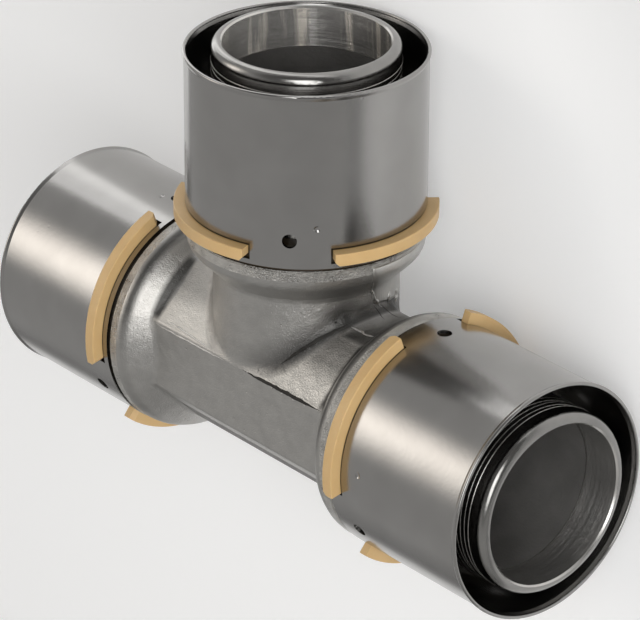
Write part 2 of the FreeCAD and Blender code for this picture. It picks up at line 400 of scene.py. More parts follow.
@dataclass(frozen=True)
class CastingCorners:
    """Where shade is painted into the casting's creases and corners, and highlights onto a facet and a cone.
    """

    corner: Triple = (25.5, 26.8, 8.8)
    facet_normal: Triple = (0.0, 0.7071, 0.7071)
    run_a_side: Ramp = Ramp(Measure.X, (-5.0, 19.0, 0.05, 1.0))
    past_edge: Ramp = Ramp(Measure.Y, (10.5, 13.5, 0.0, 1.0))
    off_neck: Ramp = Ramp(Measure.FROM_BRANCH, (26.4, 27.8, 0.0, 1.0))
    high_up: Ramp = Ramp(Measure.Z, (12.0, 16.0, 0.0, 1.0))
    # Bands where shade is painted: the crease beside the neck, the pocket under it, the valleys, the foot and
    # the groove by the shoulder.
    crease: tuple[Ramp, ...] = (
        Ramp(Measure.LEAN, (-3.2, -0.1, 0.0, 1.0)), Ramp(Measure.LEAN, (1.2, 6.5, 1.0, 0.0)),
        Ramp(Measure.FROM_BRANCH, (27.6, 29.4, 1.0, 0.0)), Ramp(Measure.FROM_RUN, (31.0, 33.0, 1.0, 0.0)),
        run_a_side, past_edge,
    )
    pocket: tuple[Ramp, ...] = (
        Ramp(Measure.FROM_CORNER, (2.0, 8.0, 1.0, 0.0)), run_a_side,
        Ramp(Measure.LEAN, (-2.2, -0.4, 0.25, 1.0)), past_edge,
    )
    valley: tuple[Ramp, ...] = (
        Ramp(Measure.FROM_RUN, (26.4, 28.2, 1.0, 0.0)), Ramp(Measure.Y, (14.0, 23.5, 0.0, 0.62)), run_a_side,
    )
    foot: tuple[Ramp, ...] = (
        Ramp(Measure.FROM_RUN, (26.9, 28.0, 1.0, 0.0)), Ramp(Measure.RUN_SIDE, (33.2, 34.6, 0.0, 1.0)),
        Ramp(Measure.SLANT, (0.905, 0.945, 0.0, 0.95)), Ramp(Measure.Y, (4.0, 9.0, 0.0, 1.0)),
    )
    groove: tuple[Ramp, ...] = (
        Ramp(Measure.RUN_SIDE, (39.4, 40.9, 0.0, 1.0)), Ramp(Measure.RUN_SIDE, (41.7, 43.2, 1.0, 0.0)),
        Ramp(Measure.Y, (0.0, 12.0, 0.1, 0.85)),
    )
    # Bands where a highlight is painted, on the lower facet and on the cone.
    painted_highlight_facet: tuple[Ramp, ...] = (
        Ramp(Measure.Y, (9.9, 11.2, 0.0, 1.0)), Ramp(Measure.X, (33.5, 35.5, 1.0, 0.0)),
        Ramp(Measure.Y, (15.0, 18.8, 1.0, 0.0), "MINIMUM"), off_neck, high_up,
    )
    painted_highlight_cone: tuple[Ramp, ...] = (
        Ramp(Measure.Y, (2.0, 13.0, 0.0, 1.0)), Ramp(Measure.X, (-35.5, -34.5, 1.0, 0.0)),
        Ramp(Measure.Y, (18.5, 23.0, 1.0, 0.0), "MINIMUM"), off_neck, high_up,
    )

    def measures(self, sheet: NodeSheet, middle: Socket) -> dict[Measure, Socket]:
        """Work out all that the masks read.

        Args:
            sheet: The group's node sheet.
            middle: Where the axes cross.

        Returns:
            Each measure's output.
        """
        away = sheet.vector("SUBTRACT", sheet.add("ShaderNodeTexCoord").outputs["Object"], middle)
        place = sheet.vector("MULTIPLY", away, (PER_MM, PER_MM, PER_MM))
        x, y, z = sheet.add("ShaderNodeSeparateXYZ", place).outputs
        across = sheet.vector("MULTIPLY", place, (0.0, 1.0, 1.0))
        from_run = sheet.vector("LENGTH", across)
        from_branch = sheet.vector("LENGTH", sheet.vector("MULTIPLY", place, (1.0, 0.0, 1.0)))
        facing = sheet.vector("ABSOLUTE", sheet.vector("NORMALIZE", across))
        return {
            Measure.X: x,
            Measure.Y: y,
            Measure.Z: z,
            Measure.RUN_SIDE: sheet.math("ABSOLUTE", x),
            Measure.FROM_RUN: from_run,
            Measure.FROM_BRANCH: from_branch,
            Measure.LEAN: sheet.math("SUBTRACT", from_run, from_branch),
            Measure.FROM_CORNER: sheet.vector("DISTANCE", sheet.vector("ABSOLUTE", place), self.corner),
            Measure.SLANT: sheet.vector("DOT_PRODUCT", facing, self.facet_normal),
        }

    def build(self) -> ShadedGroup:
        """Build the group for the shade painted into the casting's corners and the highlights painted on a
        facet and a cone.

        Returns:
            A group whose Mask is one where shade is painted darkest and whose PaintedHighlight is one where a
            highlight is painted brightest.
        """
        group = ShadedGroup("casting_painted_shade_and_highlight", {"Middle": ORIGIN}, {"Mask": FLOAT, "PaintedHighlight": FLOAT})
        sheet = group.sheet
        read = self.measures(sheet, group.given["Middle"])
        painted_shade_masks = (self.crease, self.pocket, self.valley, self.foot, self.groove)
        for name, masks in (("Mask", painted_shade_masks), ("PaintedHighlight", (self.painted_highlight_facet, self.painted_highlight_cone))):
            whole = 0.0
            for ramps in masks:
                mask = 1.0
                for ramp in ramps:
                    mask = sheet.math(ramp.joins, mask, sheet.spread(read[ramp.measure], ramp.band))
                whole = sheet.math("MAXIMUM", whole, mask)
            group.give(**{name: whole})
        return group


def start_material(name: str) -> tuple[bpy.types.Material, NodeSheet, Node]:
    """Make a plain material.

    Args:
        name: The material's name.

    Returns:
        The material, its node sheet and its shader.
    """
    made = bpy.data.materials.new(name)
    made.use_nodes = True
    return made, NodeSheet(made.node_tree), made.node_tree.nodes["Principled BSDF"]


@dataclass(frozen=True)
class Finish:
    """What every finish has: two close shades, a gloss, and relief, mottle and specks in millimetres."""

    name: str
    colour: Triple
    dark_colour: Triple
    roughness: float
    swing: float = 0.06
    rougher: float = 0.0
    gloss_heights: tuple[float, float] = (0.5, 1.2)
    relief: float = 0.012
    cell: float = 1.2
    coarse_share: float = 1.0
    fine_share: float = 0.3
    speck_cell: float = 3.0
    speck_size: float = 0.0
    speck_depth: float = 1.6


class Coat:
    """A material in the making, with the mottle and the specks that its finish starts from."""

    SHADES: Band = (0.3, 0.7, 0.0, 1.0)

    def __init__(self, finish: Finish, effects: Effects, port: Port) -> None:
        """Start the material.

        Args:
            finish: The finish to lay.
            effects: The shared node groups.
            port: The port whose axis the finish runs around.
        """
        self.finish = finish
        self.made, self.sheet, self.shader = start_material(finish.name)
        self.here = effects.port_place.place(self.sheet, Lip=tuple(port.lip), Outwards=tuple(port.outwards))
        given = {"sheet": self.sheet, "Place": self.here["Place"]}
        mottle = effects.mottle.place(
            **given, Cell=finish.cell, Coarse_Share=finish.coarse_share, Fine_Share=finish.fine_share
        )
        shade = self.sheet.spread(mottle["Coarse"], self.SHADES)
        self.colour = self.sheet.mix_colour(shade, finish.dark_colour, finish.colour)
        self.mottle = self.height = mottle["Height"]
        self.specks: object = 0.0
        if finish.speck_size > 0.0:
            specks = effects.specks.place(**given, Cell=finish.speck_cell, Size=finish.speck_size)
            self.specks = specks["Mask"]
            self.height = self.sheet.math("MULTIPLY_ADD", self.specks, -finish.speck_depth, self.mottle)

    def tint(self, share: object, colour: Triple, strength: float = 1.0) -> None:
        """Mix a colour, at a strength, over the one so far."""
        self.colour = self.sheet.mix_colour(share, self.colour, tuple(strength * part for part in colour))

    def close(self, normal: Socket) -> bpy.types.Material:
        """Join the coat to the shader.

        Args:
            normal: The surface's normal.

        Returns:
            The finished material.
        """
        smooth = self.finish.roughness - self.finish.swing
        rough = self.finish.roughness + self.finish.swing + self.finish.rougher
        gloss = self.sheet.spread(self.mottle, (*self.finish.gloss_heights, smooth, rough))
        self.sheet.fill(self.shader, Base_Color=self.colour, Roughness=gloss, Normal=normal)
        return self.made


@dataclass(frozen=True)
class MetalFinish(Finish):
    """A metal's finish, with turned lines, long streaks of painted reflection, and painted shade and painted
    highlights on the casting.
    """

    line_pitch: float = 0.0
    line_around: float = 0.02
    line_relief: float = 0.0
    bare_metal: float = 1.0
    painted_shade: float = 0.0
    painted_highlight_colour: Triple = (0.79, 0.77, 0.73)
    painted_reflection_around: float = 0.0
    painted_reflection_length: float = 60.0
    painted_reflection_colour: Triple = (0.97, 0.91, 0.82)
    painted_reflection_share: Band = (0.51, 0.65, 0.0, 1.0)

    def build(self, effects: Effects, port: Port, middle: Vector | None = None) -> bpy.types.Material:
        """Make the material.

        Args:
            effects: The shared node groups.
            port: The port whose axis the lines run around.
            middle: Where the axes cross, for a finish with painted shade in its corners and painted
                highlights on a facet and a cone.

        Returns:
            The finished material.
        """
        coat = Coat(self, effects, port)
        sheet = coat.sheet
        sheet.fill(coat.shader, Metallic=self.bare_metal)
        # Painted reflection: warm streaks along the bore stand in for lamps mirrored in its turned wall.
        if self.painted_reflection_around > 0.0:
            streaks = effects.lines(sheet, coat.here, self.painted_reflection_length, self.painted_reflection_around)
            coat.tint(sheet.spread(streaks, self.painted_reflection_share), self.painted_reflection_colour)
        bump = sheet.bump(coat.height, self.relief)
        if self.line_relief > 0.0:
            lines = effects.lines(sheet, coat.here, self.line_pitch, self.line_around)
            bump = sheet.fill(sheet.bump(lines, self.line_relief), Normal=bump.outputs[0])
        # Painted highlight on the facet and the cone, then painted shade in the crease, corners, valleys,
        # foot and groove.
        if self.painted_shade > 0.0 and middle is not None:
            corners = effects.corners.place(sheet, Middle=tuple(middle))
            coat.tint(corners["PaintedHighlight"], self.painted_highlight_colour)
            coat.tint(corners["Mask"], self.dark_colour, 1.0 - self.painted_shade)
        return coat.close(bump.outputs[0])


@dataclass(frozen=True)
class SoftFinish(Finish):
    """A plastic's or a rubber's finish, with shade painted where it lies below the sleeve's skin, in the gap
    by the collar and under the test holes.
    """

    coarse_share: float = 0.6
    fine_share: float = 0.4
    speck_depth: float = 1.0
    speck_shade: float = 0.6
    rougher: float = 0.02
    gloss_heights: tuple[float, float] = (0.5, 1.3)
    under_glow: float = 0.0
    glow_reach: Triple = (1.6 * MM, 0.9 * MM, 0.4 * MM)
    gap_radii: Band = (32.3, 32.6, 1.0, 0.0)
    gap_shade: float = 0.16

    def build(self, effects: Effects, port: Port) -> bpy.types.Material:
        """Make the material.

        Args:
            effects: The shared node groups.
            port: The port whose axis the piece runs around.

        Returns:
            The finished material.
        """
        coat = Coat(self, effects, port)
        sheet = coat.sheet
        coat.tint(coat.specks, self.dark_colour, self.speck_shade)
        # Painted shade: darker below the sleeve's skin, where the ring is seen only in the gap and through
        # the test holes.
        radius = sheet.vector("LENGTH", coat.here["Radial"])
        coat.tint(sheet.spread(radius, self.gap_radii), self.dark_colour, self.gap_shade)
        glow = {"Subsurface_Weight": self.under_glow, "Subsurface_Radius": self.glow_reach}
        sheet.fill(coat.shader, **glow, Subsurface_Scale=1.0)
        return coat.close(sheet.bump(coat.height, self.relief).outputs[0])


CAST_SKIN = MetalFinish(
    "tin_cast_skin", (0.49, 0.48, 0.46), (0.44, 0.43, 0.413), 0.35, 0.05,
    relief=0.13, cell=0.4, coarse_share=2.0, fine_share=0.2, speck_cell=3.4, speck_size=0.06, painted_shade=0.8,
)
SEAM_BRIGHT = MetalFinish(
    "tin_worn_seam", (0.66, 0.65, 0.625), (0.52, 0.51, 0.49), 0.24, relief=0.06, cell=0.5, fine_share=0.4
)
# Painted shade: near-black tin for dark lines laid where a groove, a crease and cracks lie in shade.
SEAM_PAINTED_SHADE = MetalFinish(
    "tin_painted_shade_seam", (0.07, 0.067, 0.062), (0.045, 0.043, 0.04), 0.5, relief=0.05, cell=0.5, fine_share=0.4
)
GROUND_STRIP = MetalFinish(
    "tin_ground_strip", (0.62, 0.61, 0.585), (0.50, 0.49, 0.47), 0.3,
    relief=0.03, cell=0.9, coarse_share=1.4, fine_share=0.4,
    line_pitch=0.5, line_around=0.03, line_relief=0.11,
)
COLLAR_RIM = MetalFinish(
    "tin_collar_rim", (0.68, 0.665, 0.63), (0.46, 0.45, 0.43), 0.24, 0.08,
    relief=0.55, cell=0.52, coarse_share=1.2, line_pitch=0.25, line_around=0.5, line_relief=0.06,
)
TURNED = MetalFinish(
    "tin_turned", (0.345, 0.339, 0.327), (0.29, 0.284, 0.273), 0.14, 0.03, line_pitch=0.14, line_relief=0.03
)
# The branch's mouth bore has streaks of painted reflection; the runs' mouth bores have none.
MOUTH_BORE = MetalFinish(
    "tin_mouth_bore", (0.42, 0.41, 0.39), (0.36, 0.35, 0.335), 0.16, 0.03,
    line_pitch=0.045, line_around=0.0005, line_relief=0.16, bare_metal=0.8, painted_reflection_around=0.2,
)
RUN_MOUTH_BORE = replace(
    MOUTH_BORE, name="tin_run_mouth_bore", colour=(0.36, 0.352, 0.335), dark_colour=(0.31, 0.303, 0.29),
    roughness=0.2, line_relief=0.12, painted_reflection_around=0.0,
)
# Painted shade: the step between the mouth bore and the cast bore is darker than both, so that it shows as a
# dark line with no bright edge.
BORE_STEP = MetalFinish(
    "tin_bore_step_painted_shade", (0.175, 0.17, 0.162), (0.155, 0.15, 0.143), 0.45, relief=0.05, cell=0.5, fine_share=0.2
)
BARB_CREST = MetalFinish("tin_barb_crest", (0.74, 0.72, 0.69), (0.6, 0.59, 0.565), 0.22, 0.05)
CAST_BORE = MetalFinish(
    "tin_cast_bore", (0.24, 0.233, 0.222), (0.195, 0.189, 0.18), 0.48,
    relief=0.16, cell=1.1, coarse_share=1.6, fine_share=0.4, bare_metal=0.55,
)
SLEEVE_STEEL = MetalFinish(
    "sleeve_satin_steel", (0.385, 0.378, 0.368), (0.355, 0.348, 0.338), 0.16, 0.035,
    relief=0.01, cell=1.4, coarse_share=3.0, fine_share=0.4, speck_cell=4.2, speck_size=0.06,
    line_pitch=0.5, line_around=0.9, line_relief=0.003,
)
RING_PLASTIC = SoftFinish(
    "ring_tan_plastic", (0.70, 0.475, 0.222), (0.66, 0.44, 0.20), 0.42,
    relief=0.05, cell=0.9, speck_cell=9.0, speck_size=0.035, under_glow=0.1, gap_shade=0.05,
)
SEAL_RUBBER = SoftFinish(
    "seal_black_rubber", (0.05, 0.038, 0.032), (0.036, 0.028, 0.024), 0.5,
    relief=0.03, cell=0.5, speck_cell=3.0, speck_size=0.04,
)


def add_object(name: str, data: bpy.types.ID) -> bpy.types.Object:
    """Put a new object with its data into the scene."""
    made = bpy.data.objects.new(name, data)
    bpy.context.scene.collection.objects.link(made)
    return made


def add_piece(name: str, made: bmesh.types.BMesh, material: bpy.types.Material) -> bpy.types.Object:
    """Turn a finished mesh into a smooth piece on the body.

    Args:
        name: The piece's name.
        made: The mesh, which is freed.
        material: The piece's material.

    Returns:
        The new object.
    """
    bmesh.ops.recalc_face_normals(made, faces=made.faces)
    mesh = bpy.data.meshes.new(name)
    made.to_mesh(mesh)
    made.free()
    mesh.shade_smooth()
    mesh.materials.append(material)
    piece = add_object(name, mesh)
    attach(piece, ROOT)
    return piece


def skin_tube(made: bmesh.types.BMesh, rows: list[list[bmesh.types.BMVert]], ring: bool) -> None:
    """Join rows of points into a tube.

    Args:
        made: The mesh that holds the points.
        rows: The points of each cross-section.
        ring: Whether the last section joins the first. Otherwise both ends are capped.
    """
    for row, following in zip(rows, rows[1:] + (rows[:1] if ring else [])):
        for side, point in enumerate(row):
            other = (side + 1) % len(row)
            made.faces.new((point, row[other], following[other], following[side]))
    if not ring:
        made.faces.new(rows[0])
        made.faces.new(tuple(reversed(rows[-1])))


def set_only_material(node: bpy.types.Object, material: bpy.types.Material) -> None:
    """Give a whole node one material."""
    node.data.materials.clear()
    node.data.materials.append(material)


@dataclass
class TeeBody:
    """The one-piece body: cast core and shoulders, machined rims, nipples and mouths.

    Its lengths are depths behind a sleeve's lip, radii, and two tolerances, in metres.
    """

    ports: list[Port]
    middle: Vector
    effects: Effects
    nipple_stand_out: float = 2.35 * MM
    mouth_depth: float = 11.4 * MM
    collar_face: float = 50.3 * MM
    collar_rim: float = 3.0 * MM
    mouth_radius: float = 22.4 * MM
    mouth_bevel: float = 0.45 * MM
    waterway_radius: float = 22.0 * MM
    slack: float = 0.15 * MM
    tight: float = 0.05 * MM

    def region_at(self, point: Vector) -> Region:
        """Say which kind of surface a point of the body lies on.

        Args:
            point: A point on the body.

        Returns:
            The region.
        """
        port = min(self.ports, key=lambda one: one.depth_and_radius(point)[0])
        depth, radius = port.depth_and_radius(point)
        if any(one.depth_and_radius(point)[1] < self.waterway_radius + self.tight for one in self.ports):
            return Region.CAST_BORE
        if radius < self.mouth_radius + self.tight:
            in_mouth = depth < self.mouth_depth - self.nipple_stand_out - self.slack
            return Region.MOUTH_BORE if in_mouth else Region.BORE_STEP
        if depth < 0.0 and radius < self.mouth_radius + self.mouth_bevel + self.tight:
            return Region.MOUTH_EDGE
        if depth < self.collar_face + self.tight:
            return Region.TURNED
        if depth < self.collar_face + self.collar_rim:
            return Region.COLLAR_RIM
        return Region.CAST_SKIN

    def dress(self) -> None:
        """Give each face of the body the finish of its region."""
        node = frame["nodes"]["tee_body"]
        mesh = node.data
        mesh.materials.clear()
        finishes = {
            Region.CAST_SKIN: CAST_SKIN, Region.COLLAR_RIM: COLLAR_RIM, Region.TURNED: TURNED,
            Region.MOUTH_BORE: MOUTH_BORE, Region.CAST_BORE: CAST_BORE, Region.BORE_STEP: BORE_STEP,
            Region.MOUTH_EDGE: BARB_CREST,
        }
        slots: dict[tuple[Region, PortName], int] = {}
        for region, finish in finishes.items():
            for port in self.ports:
                slots[region, port.name] = len(mesh.materials)
                in_run_mouth = region is Region.MOUTH_BORE and port.name is not PortName.BRANCH
                chosen = RUN_MOUTH_BORE if in_run_mouth else finish
                mesh.materials.append(chosen.build(self.effects, port, self.middle))
        for face in mesh.polygons:
            nearest = min(self.ports, key=lambda one: one.depth_and_radius(face.center)[0])
            region = self.region_at(face.center)
            if region in (Region.CAST_SKIN, Region.CAST_BORE):
                nearest = self.ports[0]
            face.material_index = slots[region, nearest.name]
        log.info("tee_body: %d faces in %d finishes", len(mesh.polygons), len(mesh.materials))


@dataclass(frozen=True)
class Seam:
    """A thin line of flash on the casting, or a dark line of painted shade along a groove, crease or crack,
    with its lengths in millimetres.
    """

    name: str
    course: tuple[Triple, ...]
    half_width: float
    height: float
    ragged: float
    finish: MetalFinish = SEAM_BRIGHT


SEAMS = (
    Seam("flash_left_low", (
        (-35.0, -21.85, 60.85), (-29.0, -21.95, 60.85), (-22.0, -21.9, 60.85), (-15.0, -21.9, 60.85),
        (-9.5, -21.9, 60.85), (-4.5, -21.75, 60.85),
    ), 0.26, 0.26, 0.35),
    Seam("flash_left_high", (
        (-32.5, -20.0, 59.7), (-26.0, -20.1, 59.8), (-20.0, -20.4, 60.1), (-14.0, -20.8, 60.4),
        (-9.0, -21.2, 60.7),
    ), 0.22, 0.24, 0.3),
    # Painted shade: the right-hand parting line is a dark line where it runs as a groove.
    Seam("flash_right_low", (
        (3.0, -21.5, 60.85), (8.0, -21.6, 60.84), (15.0, -21.35, 60.8), (22.0, -21.3, 60.8),
        (29.0, -21.25, 60.78), (35.4, -21.1, 60.8),
    ), 0.5, 0.16, 0.15, SEAM_PAINTED_SHADE),
    Seam("strip_edge", (
        (31.6, 9.6, 39.75), (31.27, 8.76, 39.45), (29.6, 6.9, 37.9), (27.94, 5.09, 36.49),
        (26.9, 3.6, 35.5), (26.56, 2.2, 35.25), (26.55, 0.6, 35.2), (26.5, -0.8, 35.1), (26.35, -1.5, 34.4),
    ), 0.22, 0.24, 0.25),
    Seam("strip_burr", (
        (30.6, 7.6, 36.4), (29.2, 6.2, 35.2), (27.6, 4.6, 34.2), (27.0, 3.4, 34.2),
    ), 0.16, 0.2, 0.3),
    Seam("strip_glint_left", (
        (29.4, 6.65, 37.79), (26.55, 2.4, 35.24), (26.47, 0.32, 34.43), (26.25, -1.78, 32.79),
        (26.37, -3.35, 31.46),
    ), 0.5, 0.55, 0.5),
    Seam("strip_glint_middle", (
        (25.0, 0.6, 28.1), (24.92, -1.41, 28.06), (25.3, -3.2, 28.37),
    ), 0.55, 0.5, 0.5),
    Seam("strip_glint_right", (
        (22.76, -0.6, 23.7), (22.76, -2.0, 23.64), (22.73, -3.67, 23.58), (23.25, -5.4, 24.02),
    ), 0.9, 0.5, 0.5),
    # Painted shade: a dark line in the crease beside the neck.
    Seam("crease_right", (
        (14.4, -16.7, 57.05), (16.5, -14.3, 55.35), (18.5, -12.0, 53.55), (20.4, -10.1, 51.65),
        (22.2, -8.3, 49.65), (23.9, -6.8, 47.65), (25.5, -5.4, 45.55), (26.2, -4.3, 42.65),
    ), 0.52, 0.08, 0.2, SEAM_PAINTED_SHADE),
    Seam("corner_flash", (
        (26.9, -5.1, 42.9), (28.1, -5.78, 42.15), (29.71, -6.28, 41.44), (31.89, -6.4, 41.23),
        (33.2, -6.4, 40.5),
    ), 0.38, 0.32, 0.7),
    # Painted shade: dark lines along a crack and a fold in the corner.
    Seam("corner_crack", (
        (26.4, -1.6, 34.9), (26.59, -2.81, 33.79), (27.07, -4.04, 33.13), (27.81, -4.97, 33.06),
        (28.64, -5.66, 32.71),
    ), 0.16, 0.07, 0.3, SEAM_PAINTED_SHADE),
    Seam("corner_fold", (
        (26.4, -2.2, 31.9), (27.4, -3.9, 29.9), (29.8, -5.9, 27.6),
    ), 0.13, 0.06, 0.3, SEAM_PAINTED_SHADE),
)
# Place and radius of each bead, in millimetres.
BEADS = (
    (15.4, -22.1, 60.85, 0.30), (19.4, -22.05, 60.85, 0.36), (24.3, -22.0, 60.85, 0.45),
    (5.0, -21.3, 60.8, 0.3), (11.2, -21.9, 60.85, 0.2), (28.6, -22.0, 60.85, 0.24),
)


@dataclass
class CastMarks:
    """What the mould and the grinder left on the body: flash, beads and a ground strip, with dark lines of
    painted shade along a groove, a crease and cracks.
    """

    body: bpy.types.Object
    port: Port
    middle: Vector
    effects: Effects
    strip_reach: float = 32.9
    strip_rows: tuple[tuple[float, float], ...] = (
        (13.4, 7.9), (12.4, 7.9), (11.3, 7.9), (10.0, 7.6), (8.8, 6.7), (7.6, 5.0), (6.3, 3.2), (5.1, 1.5),
        (4.0, 0.2), (2.7, -1.0), (1.5, -1.2), (0.3, -1.2), (-0.5, -1.2), (-1.1, -1.2),
    )
    strip_end: float = -52.0
    strip_columns: int = 48
    strip_rise: float = 0.34
    strip_drop: float = 0.10
    strip_level: float = 1.1
    strip_level_out: float = 4.0
    strip_margins: tuple[float, ...] = (2.0, 1.0, 2.0, 16.0)
    strip_thinning: float = 0.5
    strip_sink: float = 0.04
    strip_under: float = 0.25
    step: float = 0.35
    sides: int = 10
    wobble: float = 1.6
    wobble_length: float = 1.6 * MM
    sway: float = 2.0
    sway_length: float = 2.3 * MM
    sway_start: Triple = (7.0, 3.0, 1.0)
    taper: float = 4.0
    thinnest: float = 0.08
    seams: tuple[Seam, ...] = SEAMS
    beads: tuple[tuple[float, ...], ...] = BEADS
    bead_shape: Triple = (1.3, 0.8, 0.6)
    bead_dent: float = 0.18
    bead_dent_scale: float = 1.7

    def __post_init__(self) -> None:
        """Keep the body's surface in a tree that finds the nearest point."""
        mesh = self.body.data
        self.surface = BVHTree.FromPolygons(
            [vertex.co.copy() for vertex in mesh.vertices], [tuple(face.vertices) for face in mesh.polygons]
        )

    def course_points(self, seam: Seam) -> list[Vector]:
        """Divide a seam's course evenly.

        Args:
            seam: The seam.

        Returns:
            Points along the course, in metres.
        """
        corners = [Vector(one) * MM for one in seam.course]
        points = []
        for start, end in zip(corners, corners[1:]):
            count = max(2, round((end - start).length / (self.step * MM)))
            points.extend(start.lerp(end, index / count) for index in range(count))
        points.append(corners[-1])
        return points

    def build_seam(self, seam: Seam) -> bmesh.types.BMesh:
        """Sweep a seam's half-sunk oval along its course, uneven as flash is and thin at both ends.

        Args:
            seam: The seam.

        Returns:
            The closed mesh.
        """
        made = bmesh.new()
        points = self.course_points(seam)
        last = len(points) - 1
        rows = []
        for index, point in enumerate(points):
            along = (points[min(index + 1, last)] - points[max(index - 1, 0)]).normalized()
            place, normal, _, _ = self.surface.find_nearest(point)
            across = normal.cross(along).normalized()
            wobble = noise.noise(place / self.wobble_length)
            sway = noise.noise(place / self.sway_length + Vector(self.sway_start))
            shift = sway * seam.ragged * seam.half_width * self.sway
            share = min(1.0, self.taper * index / len(points), self.taper * (last - index) / len(points))
            share = max(self.thinnest, share) * (1.0 + seam.ragged * wobble * self.wobble)
            row = []
            for side in range(self.sides):
                lean = math.tau * side / self.sides
                offset = across * (seam.half_width * share * math.cos(lean) + shift)
                lift = normal * (seam.height * share * math.sin(lean))
                row.append(made.verts.new(place + (offset + lift) * MM))
            rows.append(row)
        skin_tube(made, rows, ring=False)
        return made

    def build_beads(self) -> bmesh.types.BMesh:
        """Set the small beads of metal beside the right-hand flash line.

        Returns:
            One mesh of flattened beads.
        """
        made = bmesh.new()
        for x, y, z, radius in self.beads:
            place, normal, _, _ = self.surface.find_nearest(Vector((x, y, z)) * MM)
            turn = normal.to_track_quat("Z", "X").to_matrix().to_4x4()
            shape = Matrix.Diagonal((*(radius * share * MM for share in self.bead_shape), 1.0))
            bead = bmesh.ops.create_icosphere(made, subdivisions=3, radius=1.0, matrix=Matrix())
            for vertex in bead["verts"]:
                dent = noise.noise(vertex.co * self.bead_dent_scale + Vector((x, y, z)))
                dented = vertex.co * (1.0 + self.bead_dent * dent)
                vertex.co = Matrix.Translation(place) @ turn @ shape @ dented
        return made

    def strip_point(self, row: int, column: int) -> tuple[Vector, Vector]:
        """Find a point of the ground strip on the body.

        Args:
            row: Row along the branch.
            column: Column around it.

        Returns:
            The point and the surface's normal.
        """
        along, start = self.strip_rows[row]
        turn = math.radians(start + (self.strip_end - start) * column / self.strip_columns)
        level = max(0.0, 1.0 - max(0.0, along + self.strip_level) / self.strip_level_out)
        slope = self.strip_drop * min(0.0, math.degrees(turn)) * level
        height = (along + slope) * MM
        outwards = Vector((math.cos(turn), 0.0, math.sin(turn)))
        start_point = Vector((self.middle.x, height, self.middle.z)) + outwards * (self.strip_reach * MM)
        place, normal, _, _ = self.surface.ray_cast(start_point, -outwards)
        return place, normal

    def build_strip(self) -> bmesh.types.BMesh:
        """Lay the strip that was ground along the mould's parting, raised a little with its border sunk.

        Returns:
            The closed mesh.
        """
        made = bmesh.new()
        top, bottom = [], []
        last_row = len(self.strip_rows) - 1
        first_fade, last_fade, start_fade, end_fade = self.strip_margins
        for row in range(len(self.strip_rows)):
            top_row, bottom_row = [], []
            for column in range(self.strip_columns + 1):
                place, normal = self.strip_point(row, column)
                inner = min(
                    row / first_fade, (last_row - row) / last_fade,
                    column / start_fade, (self.strip_columns - column) / end_fade, 1.0,
                )
                fade = 1.0 - self.strip_thinning * column / self.strip_columns
                rise = self.strip_rise * fade * inner - self.strip_sink
                vertex = made.verts.new(place + normal * (rise * MM))
                top_row.append(vertex)
                if row not in (0, last_row) and column not in (0, self.strip_columns):
                    vertex = made.verts.new(place - normal * (self.strip_under * MM))
                bottom_row.append(vertex)
            top.append(top_row)
            bottom.append(bottom_row)
        for sheet_rows in (top, bottom):
            for row, following in zip(sheet_rows, sheet_rows[1:]):
                for column in range(self.strip_columns):
                    made.faces.new((row[column], row[column + 1], following[column + 1], following[column]))
        return made

    def dress(self) -> None:
        """Build every mark with its finish."""
        finishes = {one: one.build(self.effects, self.port) for one in (SEAM_BRIGHT, SEAM_PAINTED_SHADE)}
        for seam in self.seams:
            add_piece(seam.name, self.build_seam(seam), finishes[seam.finish])
        add_piece("flash_beads", self.build_beads(), finishes[SEAM_BRIGHT])
        upright = Port(PortName.BRANCH, self.port.lip, Vector((0.0, 0.0, 1.0)))
        add_piece("ground_strip", self.build_strip(), GROUND_STRIP.build(self.effects, upright))
        log.info("cast marks: %d flash lines, %d beads, ground strip", len(self.seams), len(self.beads))


@dataclass
class PortParts:
    """What one port carries: its sleeve, stop ring and seals, and the worn crests of its nipple's barbs."""

    port: Port
    effects: Effects
    seal_count: int = 2
    crests: tuple[Triple, ...] = (
        (3.15, 25.26, 0.24), (4.85, 25.08, 0.16), (6.15, 25.26, 0.24), (7.85, 25.08, 0.16),
        (9.15, 25.26, 0.24),
    )
    steps_around: int = 144
    steps_across: int = 8

    def build_crest(self, depth: float, middle: float, rounding: float) -> bmesh.types.BMesh:
        """Roll one barb crest's rounded edge around the port's axis.

        Args:
            depth: Depth of the crest behind the lip, in millimetres as the rest.
            middle: Radius of the rounded edge's middle about the axis.
            rounding: Radius of the edge itself.

        Returns:
            The crest's mesh.
        """
        made = bmesh.new()
        turn = self.port.outwards.to_track_quat("Z", "Y")
        rows = []
        for step in range(self.steps_around):
            angle = math.tau * step / self.steps_around
            row = []
            for side in range(self.steps_across):
                lean = math.tau * side / self.steps_across
                radius = middle + rounding * math.cos(lean)
                along = rounding * math.sin(lean) - depth
                local = Vector((radius * math.cos(angle), radius * math.sin(angle), along)) * MM
                row.append(made.verts.new(self.port.lip + turn @ local))
            rows.append(row)
        skin_tube(made, rows, ring=True)
        return made

    def dress(self) -> None:
        """Give each piece its finish and add the crests of the barbs."""
        name = self.port.name.value
        set_only_material(frame["nodes"]["sleeve_" + name], SLEEVE_STEEL.build(self.effects, self.port))
        set_only_material(frame["nodes"]["stop_ring_" + name], RING_PLASTIC.build(self.effects, self.port))
        rubber = SEAL_RUBBER.build(self.effects, self.port)
        for index in range(self.seal_count):
            set_only_material(frame["nodes"]["seal_%s_%d" % (name, index + 1)], rubber)
        worn = BARB_CREST.build(self.effects, self.port)
        for index, crest in enumerate(self.crests):
            add_piece("barb_crest_%s_%d" % (name, index + 1), self.build_crest(*crest), worn)
        log.info("port %s: sleeve, stop ring, %d seals, barb crests", name, self.seal_count)


